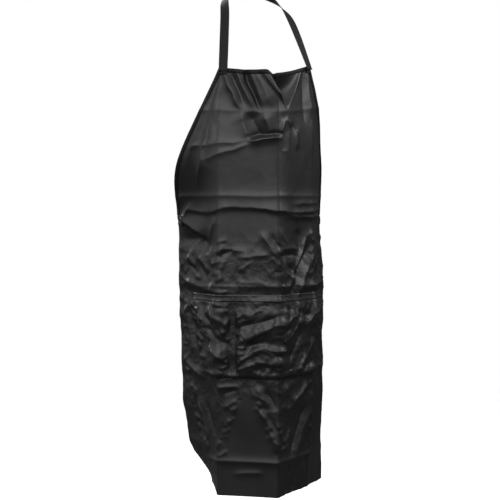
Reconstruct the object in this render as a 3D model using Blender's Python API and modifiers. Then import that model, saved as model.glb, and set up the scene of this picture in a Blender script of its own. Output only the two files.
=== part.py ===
"""Full-length bib apron of thin nylon, in the shape it takes when it is worn.

Metres, +Z up, the front of the apron faces -Y and the wearer's right is -X. The origin is the nape of
the neck strap, which holds the apron up. The cloth is described by two coordinates: "across", the
distance along the cloth from its centre line (negative towards the wearer's right), and "drop", the
distance below the top edge of the bib. worn() says where such a point of the cloth hangs.
"""

import math

import bmesh
import bpy
from mathutils import Matrix, Vector

# Cut of the cloth
APRON_LENGTH = 1.0
HALF_WIDTH = 0.28
BIB_HALF_WIDTH = 0.14
ARMHOLE_DEPTH = 0.34
ARMHOLE_START_SLOPE = 1.1
ARMHOLE_END_SLOPE = 0.1
CLOTH = 0.0016
TAPE = 0.0014
GAP = 0.0004
BINDING_WIDTH = 0.009

# How it hangs
STRAP_RISE = 0.20
BIB_FRONT_Y = -0.218
HEM_FRONT_Y = -0.214
PACK_FOLD = 0.14
BIB_TILT = 0.007
NECKLINE_SAG = 0.015
SIDE_DROP = 0.010

# Heading of the cloth away from its centre line, in degrees from the X axis, at some drops:
# drop, right inner, right outer, left inner, left outer, rounding of the centre fold
HEADINGS = (
    (0.00, 38, 46, 38, 36, 0.060),
    (0.20, 33, 49, 33, 54, 0.050),
    (0.36, 33, 68, 33, 57, 0.030),
    (0.55, 32, 70, 32, 54, 0.020),
    (0.78, 33, 74, 33, 53, 0.016),
    (0.88, 34, 80, 35, 53, 0.014),
    (1.00, 35, 104, 37, 50, 0.012),
)
FOLD_ROUNDING = 0.022
HEADING_STEPS = 40

# Grid of the cloth: the pieces sewn to the panel share its lines, so that they lie flat on it
COLUMNS = 33
BIB_ROWS = 16
SKIRT_ROWS = 16

# Pocket, as cut: a wide patch with slanting sides and one seam down it
POCKET_TOP = 0.530
POCKET_HEIGHT = 0.194
POCKET_HALF_TOP = 0.230
POCKET_HALF_BOTTOM = 0.160
POCKET_SEAM = -0.105
POCKET_SEAM_WIDTH = 0.008
POCKET_BULGE = 0.017
POCKET_EASE = 0.045
POCKET_ROWS = 11

# Tapes
TAPE_WIDTH = 0.021
STRAP_OVERLAP = 0.015
TIE_DROP = 0.36
TIE_OVERLAP = 0.024
HINGE_CLEARANCE = 0.0025
STRAP_CLEARANCE = 0.0035
TIE_START_WIDTH = 0.0085
TIE_WIDENING = 0.008
# The neck strap on the wearer's left: points, and the way the tape's width lies at each
STRAP_PATH = (
    (0.0860, -0.1000, -0.087),
    (0.0710, -0.0600, -0.040),
    (0.0480, -0.0220, -0.012),
    (0.0240, -0.0020, -0.001),
    (0.0080, 0.0000, 0.000),
)
STRAP_WIDTH_WAYS = (
    (0.96, 0.10, -0.25),
    (0.74, 0.30, -0.60),
    (0.38, 0.25, -0.88),
    (0.06, 0.04, -1.00),
    (0.00, 0.00, -1.00),
)
WAIST_PATH = (
    (0.1360, 0.0340),
    (0.1040, 0.0530),
    (0.0600, 0.0620),
)
KNOT_CENTRE = Vector((0.0, 0.0765, -0.563))
KNOT_SIZE = (0.024, 0.024, 0.026)
KNOT_ROUNDING = 0.006
KNOTTED_WIDTH = 0.012
BOW_REACH = 0.088
BOW_HEIGHT = 0.030
BOW_DROOP = 22
BOW_LEAN = 50
BOW_POINTS = 28
TAIL_LENGTH = 0.31
TAIL_SPREAD = 0.030
TAIL_START = 0.008
TIE_ENTRY = -0.010
LOOP_ENTRY = 0.008
TAIL_ENTRY = 0.004

BLACK_NYLON = (0.022, 0.022, 0.024, 1.0)
BLACK_TAPE = (0.016, 0.016, 0.017, 1.0)
WHITE_LABEL = (0.72, 0.72, 0.70, 1.0)


def smooth(value):
    """Ease from 0 to 1 as value goes from 0 to 1."""
    held = min(max(value, 0.0), 1.0)
    return held * held * (3.0 - 2.0 * held)


def station(drop):
    """The four headings, in radians, and the rounding of the centre fold at this drop."""
    for upper, lower in zip(HEADINGS, HEADINGS[1:]):
        if drop <= lower[0]:
            break
    share = smooth((drop - upper[0]) / (lower[0] - upper[0]))
    mixed = [a + (b - a) * share for a, b in zip(upper[1:], lower[1:])]
    return [math.radians(angle) for angle in mixed[:4]] + [mixed[4]]


def plan(across, drop):
    """Where a point of the cloth stands in plan, found by following the cloth out from its centre."""
    right_inner, right_outer, left_inner, left_outer, centre_round = station(drop)
    inner, outer = (left_inner, left_outer) if across > 0 else (right_inner, right_outer)
    side = 1.0 if across > 0 else -1.0
    step = abs(across) / HEADING_STEPS
    x = 0.0
    y = HEM_FRONT_Y + (BIB_FRONT_Y - HEM_FRONT_Y) * (1.0 - smooth(drop / APRON_LENGTH))
    for index in range(HEADING_STEPS):
        along = (index + 0.5) * step
        turn = smooth((along - PACK_FOLD + FOLD_ROUNDING) / (2 * FOLD_ROUNDING))
        heading = (inner + (outer - inner) * turn) * smooth(0.5 + 0.5 * along / centre_round)
        x += side * math.cos(heading) * step
        y += math.sin(heading) * step
    return x, y


def worn(across, drop):
    """Middle of the cloth's thickness at this point of the cut, where it hangs."""
    x, y = plan(across, drop)
    share = across / BIB_HALF_WIDTH
    bib = smooth(1.0 - drop / 0.35)
    tilt = BIB_TILT * max(min(share, 1.3), -1.3) * bib
    sag = NECKLINE_SAG * max(1.0 - share * share, 0.0) * bib
    outer = smooth((across - PACK_FOLD) / (HALF_WIDTH - PACK_FOLD))
    side = SIDE_DROP * outer * smooth((drop - 0.5) / 0.5)
    return Vector((x, y, -STRAP_RISE - drop + tilt - sag - side))


def outward(across, drop):
    """Unit normal of the cloth, away from the wearer."""
    nudge = 0.004
    along = worn(across + nudge, drop) - worn(across - nudge, drop)
    low = min(drop + nudge, APRON_LENGTH)
    high = max(drop - nudge, 0.0)
    down = worn(across, low) - worn(across, high)
    return down.cross(along).normalized()


def lifted(across, drop, height):
    """A point at this height off the middle of the cloth, positive in front of it."""
    return worn(across, drop) + outward(across, drop) * height


def half_width(drop):
    """Half the cut width: the armholes narrow the bib above ARMHOLE_DEPTH."""
    share = min(drop / ARMHOLE_DEPTH, 1.0)
    square = share * share
    cube = square * share
    rise = (cube - 2 * square + share) * ARMHOLE_START_SLOPE
    rise += 3 * square - 2 * cube + (cube - square) * ARMHOLE_END_SLOPE
    return BIB_HALF_WIDTH + (HALF_WIDTH - BIB_HALF_WIDTH) * rise


def spread(low, high, count):
    """Evenly spaced values from low to high."""
    return [low + (high - low) * index / (count - 1) for index in range(count)]


def through(points, steps):
    """Points along a smooth curve through the given ones."""
    ends = [2 * points[0] - points[1]] + list(points) + [2 * points[-1] - points[-2]]
    curve = []
    for before, start, end, after in zip(ends, ends[1:], ends[2:], ends[3:]):
        for index in range(steps):
            t = index / steps
            bend = 2 * before - 5 * start + 4 * end - after
            twist = 3 * start - before - 3 * end + after
            curve.append(0.5 * (2 * start + (end - before) * t + bend * t * t + twist * t ** 3))
    curve.append(points[-1].copy())
    return curve


def material(name, colour, roughness):
    made = bpy.data.materials.new(name)
    made.use_nodes = True
    shader = made.node_tree.nodes["Principled BSDF"]
    shader.inputs["Base Color"].default_value = colour
    shader.inputs["Roughness"].default_value = roughness
    shader.inputs["Metallic"].default_value = 0.0
    return made


def put_in_scene(mesh, name, colour, roughness):
    piece = bpy.data.objects.new(name, mesh)
    mesh.materials.append(material(name, colour, roughness))
    parts.objects.link(piece)
    return piece


def cloth_solid(name, rows, thickness, colour, roughness, closed=False):
    """A sheet through rows of points, given its thickness by Solidify about the sheet's middle."""
    mesh = bpy.data.meshes.new(name)
    grid = bmesh.new()
    knots = [[grid.verts.new(point) for point in row] for row in rows]
    following = knots[1:] + knots[:1] if closed else knots[1:]
    for row, lower in zip(knots, following):
        for index in range(len(row) - 1):
            grid.faces.new((row[index], lower[index], lower[index + 1], row[index + 1]))
    bmesh.ops.recalc_face_normals(grid, faces=grid.faces)
    grid.to_mesh(mesh)
    grid.free()
    mesh.shade_smooth()
    piece = put_in_scene(mesh, name, colour, roughness)
    wall = piece.modifiers.new("thickness", "SOLIDIFY")
    wall.thickness = thickness
    wall.offset = 0.0
    wall.use_even_offset = True
    return piece


def tape_rows(path, across_directions, widths):
    """Rows of two points: the edges of a flat tape along a path."""
    rows = []
    for index, middle in enumerate(path):
        along = path[min(index + 1, len(path) - 1)] - path[max(index - 1, 0)]
        sideways = across_directions[index]
        sideways = (sideways - sideways.project(along)).normalized()
        half = sideways * widths[index] / 2
        rows.append((middle - half, middle + half))
    return rows


def main_panel():
    """The one large piece of cloth: bib and skirt, with the armholes cut out."""
    drops = spread(0.0, ARMHOLE_DEPTH, BIB_ROWS)[:-1] + spread(ARMHOLE_DEPTH, APRON_LENGTH, SKIRT_ROWS)
    shares = spread(-1.0, 1.0, COLUMNS)
    rows = [[worn(half_width(drop) * share, drop) for share in shares] for drop in drops]
    return cloth_solid("main_panel", rows, CLOTH, BLACK_NYLON, 0.4)


def binding(name, edge):
    """Tape folded over an edge of the cloth. edge lists (across, drop, inward across, inward drop)."""
    middle = CLOTH / 2 + GAP + TAPE / 2
    fold = GAP + TAPE / 2
    rows = []
    for across, drop, inward_across, inward_drop in edge:
        front = outward(across, drop)
        near = worn(across, drop)
        inner = worn(across + inward_across * BINDING_WIDTH, drop + inward_drop * BINDING_WIDTH)
        inward = (inner - near).normalized()
        inner_front = outward(across + inward_across * BINDING_WIDTH, drop + inward_drop * BINDING_WIDTH)
        rows.append(
            (
                inner + inner_front * middle,
                near + front * middle - inward * fold,
                near - front * middle - inward * fold,
                inner - inner_front * middle,
            )
        )
    return cloth_solid(name, rows, TAPE, BLACK_TAPE, 0.6)


def bib_top_binding():
    edge = [(across, 0.0, 0.0, 1.0) for across in spread(-BIB_HALF_WIDTH, BIB_HALF_WIDTH, COLUMNS)]
    return binding("bib_top_binding", edge)


def armhole_binding(name, side):
    """Tape over one armhole, from under the bib's top binding to the waist corner."""
    start = BINDING_WIDTH + TAPE + GAP
    edge = []
    for drop in [start] + spread(0.0, ARMHOLE_DEPTH, BIB_ROWS)[1:]:
        nudge = 0.002
        run_across = half_width(drop + nudge) - half_width(drop - nudge)
        run = Vector((run_across, 2 * nudge)).normalized()
        edge.append((side * half_width(drop), drop, -side * run.y, run.x))
    return binding(name, edge)


def patch(name, corners, height, thickness, colour):
    """A small flat piece lying on the cloth. corners are low and high (across, drop)."""
    (left, top), (right, bottom) = corners
    rows = [
        [lifted(across, drop, height) for across in spread(left, right, 4)]
        for drop in spread(top, bottom, 4)
    ]
    return cloth_solid(name, rows, thickness, colour, 0.6)


def strap_end(name, side):
    """Sewn end of the neck strap, on the front of a bib corner and over both bindings."""
    outer = side * BIB_HALF_WIDTH
    inner = side * (BIB_HALF_WIDTH - TAPE_WIDTH)
    corners = ((min(inner, outer), HINGE_CLEARANCE / 2), (max(inner, outer), STRAP_OVERLAP))
    height = CLOTH / 2 + 2 * GAP + 1.5 * TAPE
    return patch(name, corners, height, TAPE, BLACK_TAPE)


def tie_end(name, side):
    """Sewn end of a waist tie, on the inner face of the side edge just under the armhole."""
    outer = side * (HALF_WIDTH - HINGE_CLEARANCE / 2)
    inner = side * (HALF_WIDTH - TIE_OVERLAP)
    top = TIE_DROP - TAPE_WIDTH / 2
    corners = ((min(inner, outer), top), (max(inner, outer), top + TAPE_WIDTH))
    return patch(name, corners, -(CLOTH / 2 + GAP + TAPE / 2), TAPE, BLACK_TAPE)


def strap_start(side):
    """Middle of the neck strap where it leaves the bib."""
    height = CLOTH / 2 + 2 * GAP + 1.5 * TAPE
    corner = lifted(side * (BIB_HALF_WIDTH - TAPE_WIDTH / 2), 0.0, height)
    return corner + Vector((0.0, 0.0, STRAP_CLEARANCE))


def neck_strap():
    """One tape from bib corner to bib corner round the back of the neck."""
    halves = []
    for side in (-1.0, 1.0):
        mirrored = Vector((side, 1.0, 1.0))
        points = [strap_start(side)] + [Vector(place) * mirrored for place in STRAP_PATH]
        along_bib = worn(side * BIB_HALF_WIDTH, 0.0) - worn(side * (BIB_HALF_WIDTH - TAPE_WIDTH), 0.0)
        ways = [along_bib.normalized()] + [Vector(way) * mirrored for way in STRAP_WIDTH_WAYS]
        halves.append(list(zip(through(points, 5), through(ways, 5))))
    stations = halves[0] + halves[1][::-1]
    path = [middle for middle, way in stations]
    ways = [way for middle, way in stations]
    rows = tape_rows(path, ways, [TAPE_WIDTH] * len(path))
    return cloth_solid("neck_strap", rows, TAPE, BLACK_TAPE, 0.6)


def front_pocket():
    """Wide patch pocket: sewn to the panel at its sides, bottom and one seam, open along its top."""
    flat = CLOTH / 2 + GAP + CLOTH / 2
    spacing = 2 * HALF_WIDTH / (COLUMNS - 1)
    outermost = int(POCKET_HALF_BOTTOM / spacing)
    lines = [index * spacing for index in range(-outermost, outermost + 1)]
    sewn = (POCKET_SEAM - POCKET_SEAM_WIDTH / 2, POCKET_SEAM + POCKET_SEAM_WIDTH / 2)
    rows = []
    for drop in spread(POCKET_TOP, POCKET_TOP + POCKET_HEIGHT, POCKET_ROWS):
        share = (drop - POCKET_TOP) / POCKET_HEIGHT
        edge = POCKET_HALF_TOP + (POCKET_HALF_BOTTOM - POCKET_HALF_TOP) * smooth(share * 1.15)
        beside = (edge + lines[-1]) / 2
        places = [-edge, -beside]
        places += [line for line in lines if line < sewn[0]] + list(sewn)
        places += [line for line in lines if line > sewn[1]] + [beside, edge]
        row = []
        for across in places:
            if across < POCKET_SEAM:
                room = min(sewn[0] - across, across + edge)
            else:
                room = min(edge - across, across - sewn[1])
            room = min(room, POCKET_TOP + POCKET_HEIGHT - drop)
            row.append(lifted(across, drop, flat + POCKET_BULGE * smooth(room / POCKET_EASE)))
        rows.append(row)
    return cloth_solid("front_pocket", rows, CLOTH, BLACK_NYLON, 0.4)


def care_label():
    """Small blank label sewn inside the bib, beside the centre line."""
    height = -(CLOTH / 2 + GAP + TAPE / 4)
    return patch("care_label", ((0.006, 0.150), (0.036, 0.196)), height, TAPE / 2, WHITE_LABEL)


def tie_corner(side):
    """Where a waist tie leaves the side edge, on the inner face."""
    return lifted(side * HALF_WIDTH, TIE_DROP, -(CLOTH / 2 + GAP + TAPE / 2))


def waist_tie(name, side):
    """Tape from a waist corner round the wearer's back to the knot."""
    corner = tie_corner(side)
    onward = Vector((side * WAIST_PATH[0][0], WAIST_PATH[0][1], corner.z)) - corner
    start = corner + onward.normalized() * HINGE_CLEARANCE
    knot_side = Vector((side * (KNOT_SIZE[0] / 2 + GAP), KNOT_CENTRE.y + TIE_ENTRY, KNOT_CENTRE.z))
    points = [start]
    points += [Vector((side * x, y, corner.z - 0.002)) for x, y in WAIST_PATH]
    points.append(knot_side)
    path = through(points, 5)
    widths = []
    for middle in path:
        gathered = smooth(1.0 - (abs(middle.x) - KNOT_SIZE[0] / 2) / 0.035)
        full = TAPE_WIDTH + (KNOTTED_WIDTH - TAPE_WIDTH) * gathered
        opened = min((middle - start).length / TIE_WIDENING, 1.0)
        widths.append(TIE_START_WIDTH + (full - TIE_START_WIDTH) * opened)
    rows = tape_rows(path, [Vector((0.0, 0.0, 1.0))] * len(path), widths)
    return cloth_solid(name, rows, TAPE, BLACK_TAPE, 0.6)


def bow_knot():
    """The knot where both ties meet behind the waist."""
    bpy.ops.mesh.primitive_cube_add(size=1.0, location=KNOT_CENTRE)
    knot = bpy.context.object
    knot.name = "bow_knot"
    knot.data.name = "bow_knot"
    knot.data.transform(Matrix.Diagonal((*KNOT_SIZE, 1.0)))
    knot.data.materials.append(material("bow_knot", BLACK_TAPE, 0.6))
    bpy.context.collection.objects.unlink(knot)
    parts.objects.link(knot)
    rounding = knot.modifiers.new("rounding", "BEVEL")
    rounding.width = KNOT_ROUNDING
    rounding.segments = 3
    knot.data.shade_smooth()
    return knot


def bow_loop(name, side):
    """One loop of the bow: a closed band that leaves the knot and droops to its side."""
    droop = math.radians(BOW_DROOP)
    lean = math.radians(BOW_LEAN)
    out = Vector((side * math.cos(droop), 0.0, -math.sin(droop)))
    width_way = Vector((0.0, math.cos(lean), math.sin(lean)))
    up = width_way.cross(out).normalized() * side
    width_way = out.cross(up).normalized()
    root = KNOT_CENTRE + Vector((side * (KNOT_SIZE[0] / 2 + GAP + 1.5 * TAPE), LOOP_ENTRY, 0.0))
    path = []
    widths = []
    for index in range(BOW_POINTS):
        turn = 2 * math.pi * (index + 0.5) / BOW_POINTS
        reach = 0.5 * (1.0 - math.cos(turn))
        height = BOW_HEIGHT / 2 * math.sin(turn) * (0.3 + 0.7 * reach)
        path.append(root + out * BOW_REACH * reach + up * height)
        widths.append(TAPE_WIDTH + (KNOTTED_WIDTH - TAPE_WIDTH) * smooth(1.0 - reach / 0.4))
    rows = []
    for index, middle in enumerate(path):
        half = width_way * widths[index] / 2
        rows.append((middle - half, middle + half))
    return cloth_solid(name, rows, TAPE, BLACK_TAPE, 0.6, closed=True)


def tie_tail(name, side):
    """Free end of a tie, hanging from under the knot."""
    top = KNOT_CENTRE + Vector((side * TAIL_START, TAIL_ENTRY, -KNOT_SIZE[2] / 2 - HINGE_CLEARANCE))
    points = [
        top,
        top + Vector((side * TAIL_SPREAD * 0.35, 0.001, -TAIL_LENGTH * 0.22)),
        top + Vector((side * TAIL_SPREAD * 0.75, 0.0, -TAIL_LENGTH * 0.6)),
        top + Vector((side * TAIL_SPREAD, 0.001, -TAIL_LENGTH)),
    ]
    path = through(points, 6)
    widths = []
    for middle in path:
        gathered = smooth(1.0 - (top.z - middle.z) / 0.035)
        widths.append(TAPE_WIDTH + (KNOTTED_WIDTH - TAPE_WIDTH) * gathered)
    rows = tape_rows(path, [Vector((1.0, 0.0, 0.0))] * len(path), widths)
    return cloth_solid(name, rows, TAPE, BLACK_TAPE, 0.6)


for old in list(bpy.data.objects):
    bpy.data.objects.remove(old, do_unlink=True)
parts = bpy.data.collections.new("bib_apron")
bpy.context.scene.collection.children.link(parts)

main_panel()
bib_top_binding()
front_pocket()
care_label()
neck_strap()
bow_knot()
for hand, side in (("right", -1.0), ("left", 1.0)):
    armhole_binding(f"armhole_binding_{hand}", side)
    strap_end(f"strap_end_{hand}", side)
    tie_end(f"tie_end_{hand}", side)
    waist_tie(f"waist_tie_{hand}", side)
    bow_loop(f"bow_loop_{hand}", side)
    tie_tail(f"tie_tail_{hand}", side)
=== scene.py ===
"""The looks of a full-length bib apron in thin black nylon, hung in the shape that it has when it is worn."""

import math

import bpy
import numpy as np
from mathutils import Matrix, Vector


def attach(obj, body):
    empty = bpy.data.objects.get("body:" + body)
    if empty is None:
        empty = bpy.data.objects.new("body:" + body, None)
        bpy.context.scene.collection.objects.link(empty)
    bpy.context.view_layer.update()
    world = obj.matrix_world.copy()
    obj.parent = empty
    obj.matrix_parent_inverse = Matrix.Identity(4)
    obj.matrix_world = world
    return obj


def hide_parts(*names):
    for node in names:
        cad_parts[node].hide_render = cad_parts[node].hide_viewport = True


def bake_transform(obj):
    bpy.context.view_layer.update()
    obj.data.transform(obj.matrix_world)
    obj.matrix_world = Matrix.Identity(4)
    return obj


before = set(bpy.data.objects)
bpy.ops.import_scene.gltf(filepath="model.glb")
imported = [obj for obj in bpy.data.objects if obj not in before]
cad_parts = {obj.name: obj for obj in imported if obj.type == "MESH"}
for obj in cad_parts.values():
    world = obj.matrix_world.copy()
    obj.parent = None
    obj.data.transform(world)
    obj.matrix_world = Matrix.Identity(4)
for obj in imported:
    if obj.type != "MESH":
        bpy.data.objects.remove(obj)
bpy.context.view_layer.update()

# ---------------------------------------------------------------------------------------------------
# Body of the apron: one piece of thin coated nylon, bib and skirt together, with the armholes cut out.
# A point of it is named as the pattern cutter names it: "across" is the distance along the cloth from
# the centre line, negative towards the wearer's right, and "drop" the distance below the bib's top.
# ---------------------------------------------------------------------------------------------------
APRON_LENGTH = 1.0
HALF_WIDTH = 0.28
BIB_HALF_WIDTH = 0.14
ARMHOLE_DEPTH = 0.34
ARMHOLE_START_SLOPE = 1.1
ARMHOLE_END_SLOPE = 0.1
STRAP_RISE = 0.20
BIB_FRONT_Y = -0.218
HEM_FRONT_Y = -0.214
BIB_TILT = 0.007
NECKLINE_SAG = 0.015
SIDE_DROP = 0.010
NYLON = 0.0004

# Heading of the cloth away from its centre line, in degrees from the X axis, at some drops:
# drop, right inner, right outer, left inner, left outer, rounding of the centre fold
HEADINGS = np.array(
    (
        (0.00, 38, 46, 38, 36, 0.060),
        (0.20, 33, 49, 33, 54, 0.050),
        (0.36, 33, 68, 33, 57, 0.030),
        (0.55, 32, 70, 32, 54, 0.020),
        (0.78, 33, 74, 33, 53, 0.016),
        (0.88, 34, 80, 35, 53, 0.014),
        (1.00, 35, 104, 37, 50, 0.012),
    )
)
HEADING_STEPS = 40
FOLD_ROUNDING = 0.010

# The apron came out of its packet folded: three creases run down it and five across it
PACK_FOLD = 0.14
PACK_FOLDS_DOWN = (-PACK_FOLD, 0.0, PACK_FOLD)
PACK_FOLDS_ACROSS = (0.098, 0.302, 0.512, 0.716, 0.919)

# Folds of the bib and the waist: start across and drop, end across and drop, height in millimetres,
# negative for a valley, and how far it dies away on its two sides in millimetres. The second side is
# the wearer's left of a fold that runs down, and the upper side of one that runs across.
FOLDS = (
    # fanning out of the right strap's corner
    (-0.140, -0.010, -0.084, 0.102, 5.0, 5, 9),
    (-0.120, 0.000, -0.072, 0.092, -4.5, 4, 7),
    (-0.106, -0.012, -0.056, 0.094, 4.5, 5, 5),
    (-0.094, -0.020, -0.036, 0.104, -8.5, 3, 9),
    (-0.076, -0.016, -0.030, 0.090, 3.0, 5, 6),
    (-0.060, -0.012, -0.010, 0.092, 3.0, 12, 14),
    # along the right armhole
    (-0.131, 0.000, -0.206, 0.300, 6.5, 5, 12),
    (-0.137, 0.010, -0.186, 0.240, -4.5, 7, 5),
    (-0.143, 0.005, -0.232, 0.250, 4.2, 8, 8),
    (-0.128, 0.030, -0.152, 0.200, -2.5, 12, 14),
    # the facets under the first crease and the bright tuck that ends them
    (-0.092, 0.096, -0.062, 0.170, 3.0, 10, 4),
    (-0.072, 0.096, -0.036, 0.168, -4.5, 12, 14),
    (-0.036, 0.098, -0.012, 0.164, 3.5, 5, 14),
    (-0.076, 0.158, 0.016, 0.150, -5.0, 4, 7),
    (-0.078, 0.170, 0.018, 0.160, 6.5, 7, 3),
    (-0.250, 0.188, -0.056, 0.168, 1.6, 5, 3),
    (-0.190, 0.220, -0.050, 0.172, 1.8, 5, 3),
    # little puckers beside the label's stitching
    (0.002, 0.156, 0.024, 0.114, 2.6, 4, 4),
    (0.020, 0.112, 0.056, 0.138, 2.4, 4, 4),
    (0.042, 0.124, 0.074, 0.152, -2.6, 5, 4),
    (0.060, 0.130, 0.076, 0.196, 2.2, 5, 5),
    (0.008, 0.144, 0.008, 0.200, 0.7, 2, 3),
    (0.036, 0.144, 0.036, 0.200, 0.7, 3, 2),
    (0.004, 0.196, 0.040, 0.196, 0.6, 3, 2),
    # under the left strap's corner
    (0.126, -0.010, 0.134, 0.130, 2.8, 7, 5),
    (0.108, -0.010, 0.106, 0.140, -3.0, 8, 7),
    (0.135, 0.040, 0.150, 0.200, 2.0, 10, 8),
    # the slack that slides over the waist, double towards the wearer's left
    (-0.260, 0.334, -0.140, 0.341, 3.0, 3, 18),
    (-0.168, 0.343, -0.110, 0.327, 2.6, 3, 14),
    (-0.135, 0.328, -0.040, 0.331, 3.4, 3, 22),
    (-0.070, 0.329, 0.060, 0.345, 4.6, 3, 20),
    (0.010, 0.344, 0.275, 0.334, 4.4, 3, 16),
    (0.000, 0.352, 0.275, 0.352, 3.6, 3, 6),
    (0.030, 0.322, 0.245, 0.316, 2.2, 4, 9),
    # the hollow at the right waist corner, and the drape that hangs over it from the tie
    (-0.300, 0.342, -0.168, 0.404, 8.0, 4, 20),
    (-0.292, 0.372, -0.252, 0.286, 3.4, 5, 6),
    (-0.290, 0.378, -0.222, 0.318, 2.6, 5, 5),
    (-0.300, 0.432, -0.186, 0.404, 3.4, 16, 5),
    (-0.176, 0.420, -0.148, 0.346, 3.2, 4, 5),
    (-0.196, 0.398, -0.172, 0.440, -3.6, 4, 6),
    # puckers under the hollow
    (-0.252, 0.440, -0.214, 0.470, 3.2, 4, 5),
    (-0.246, 0.462, -0.206, 0.490, -3.4, 4, 4),
    (-0.236, 0.470, -0.198, 0.502, 3.6, 4, 4),
    (-0.214, 0.448, -0.176, 0.500, -3.0, 5, 4),
    (-0.206, 0.438, -0.166, 0.486, 3.4, 4, 5),
    (-0.262, 0.498, -0.200, 0.512, 3.0, 5, 4),
    # gathered line of the waist
    (-0.150, 0.424, -0.066, 0.432, 2.4, 5, 4),
    (-0.136, 0.440, -0.100, 0.428, -2.6, 4, 4),
    (-0.100, 0.446, -0.012, 0.436, 2.4, 5, 4),
    (-0.044, 0.382, 0.006, 0.452, 3.2, 5, 6),
    (-0.022, 0.386, 0.026, 0.458, -3.0, 5, 5),
    (-0.004, 0.374, 0.046, 0.440, 2.2, 6, 5),
    (-0.010, 0.426, 0.086, 0.424, 2.6, 4, 4),
    (0.000, 0.438, 0.080, 0.440, -2.2, 4, 4),
    (-0.108, 0.500, -0.006, 0.506, 1.8, 5, 5),
    (-0.096, 0.478, -0.052, 0.452, 2.0, 4, 5),
    # the crossing folds over the wearer's left hip
    (0.018, 0.540, 0.128, 0.378, 5.6, 5, 6),
    (0.034, 0.548, 0.142, 0.400, -5.0, 6, 6),
    (0.060, 0.550, 0.158, 0.420, 3.4, 6, 8),
    (0.022, 0.458, 0.104, 0.500, -3.6, 5, 5),
    (0.014, 0.472, 0.090, 0.516, 3.4, 5, 5),
    (0.076, 0.376, 0.090, 0.440, -4.0, 8, 7),
    (0.128, 0.372, 0.176, 0.500, 3.0, 7, 8),
    (0.250, 0.350, 0.268, 0.520, 2.6, 7, 7),
    # drag lines into the pocket's top corners
    (-0.300, 0.482, -0.214, 0.518, 4.0, 6, 8),
    (-0.236, 0.514, -0.090, 0.530, 3.0, 5, 6),
    (0.060, 0.520, 0.240, 0.508, 3.2, 5, 7),
    # beside and below the pocket
    (-0.262, 0.540, -0.226, 0.700, 4.0, 9, 9),
    (-0.246, 0.560, -0.200, 0.690, -3.4, 7, 7),
    (-0.284, 0.620, -0.250, 0.730, 2.6, 6, 9),
    (-0.268, 0.690, -0.180, 0.735, 4.0, 6, 5),
    (-0.240, 0.760, -0.200, 0.880, -3.0, 7, 7),
    (-0.222, 0.770, -0.176, 0.890, 3.6, 6, 6),
    (-0.192, 0.780, -0.150, 0.870, -2.6, 5, 6),
    (-0.150, 0.748, -0.084, 0.742, 3.4, 5, 5),
    (-0.130, 0.764, -0.092, 0.748, -3.0, 4, 5),
    (-0.130, 0.800, -0.090, 0.772, 2.6, 5, 5),
    (-0.052, 0.742, -0.018, 0.790, 3.4, 6, 5),
    (-0.034, 0.744, 0.004, 0.800, -3.4, 5, 5),
    (-0.048, 0.790, -0.006, 0.852, 3.0, 6, 5),
    (-0.028, 0.800, -0.002, 0.850, -2.8, 4, 4),
    (-0.016, 0.846, 0.002, 0.900, 2.6, 5, 4),
    (0.022, 0.736, 0.064, 0.792, 3.0, 8, 5),
    (0.052, 0.790, 0.136, 0.742, 5.0, 5, 6),
    (0.020, 0.800, 0.084, 0.786, 3.4, 5, 6),
    (0.128, 0.786, 0.048, 0.918, -5.5, 5, 6),
    (0.142, 0.800, 0.072, 0.920, 3.2, 7, 6),
    (0.006, 0.842, 0.030, 0.884, 3.0, 4, 4),
    (0.054, 0.842, 0.030, 0.886, 3.0, 4, 4),
    (0.012, 0.888, 0.050, 0.884, 3.6, 4, 4),
    (0.052, 0.920, 0.040, 1.020, -3.6, 6, 6),
    (0.086, 0.915, 0.066, 1.020, -3.2, 6, 7),
    (0.120, 0.930, 0.108, 1.020, 2.4, 7, 6),
    (-0.112, 0.948, -0.026, 0.944, 1.8, 4, 4),
    (-0.170, 0.925, -0.148, 0.960, 2.6, 4, 5),
)
# Ladders of short wrinkles that the seams and the packet's creases draw up, made into folds: start
# across and drop, end across and drop, number of wrinkles, their length, height and lean, where the
# length is in metres, the height in millimetres and the lean in degrees from level, dropping to the left
LADDERS = (
    (-0.136, 0.400, -0.146, 0.520, 8, 0.030, 1.8, -35),
    (-0.004, 0.400, 0.006, 0.520, 8, 0.036, 1.8, 40),
    (0.140, 0.380, 0.142, 0.520, 7, 0.030, 1.8, -30),
    (-0.230, 0.540, -0.186, 0.700, 9, 0.034, 2.6, 50),
    (-0.084, 0.752, -0.140, 0.905, 10, 0.026, 1.5, -35),
    (-0.056, 0.752, -0.006, 0.880, 10, 0.030, 2.2, 50),
    (-0.238, 0.750, -0.200, 0.890, 8, 0.034, 2.8, 60),
    (0.006, 0.755, 0.018, 0.905, 7, 0.026, 2.0, -30),
    (0.142, 0.740, 0.150, 0.900, 7, 0.030, 2.2, 35),
    (0.262, 0.360, 0.262, 0.880, 16, 0.030, 2.0, 20),
    (-0.262, 0.440, -0.258, 0.740, 10, 0.030, 2.2, -25),
)
FOLD_RISE = 1.4
FOLD_BREADTH = 1.35
FOLD_REACH = 7
FOLD_WANDER = 0.0026
RIDGE_ROUNDING = 0.0016
FADING_SHARE = 0.30
COWL_LENGTH = 0.094
COWL_DEPTH_ABOVE = 0.014
COWL_DEPTH_BELOW = 0.034
COWL_SAG = 0.009


def smooth(value):
    """Ease from 0 to 1 as value goes from 0 to 1."""
    held = np.clip(value, 0.0, 1.0)
    return held * held * (3.0 - 2.0 * held)


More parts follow.
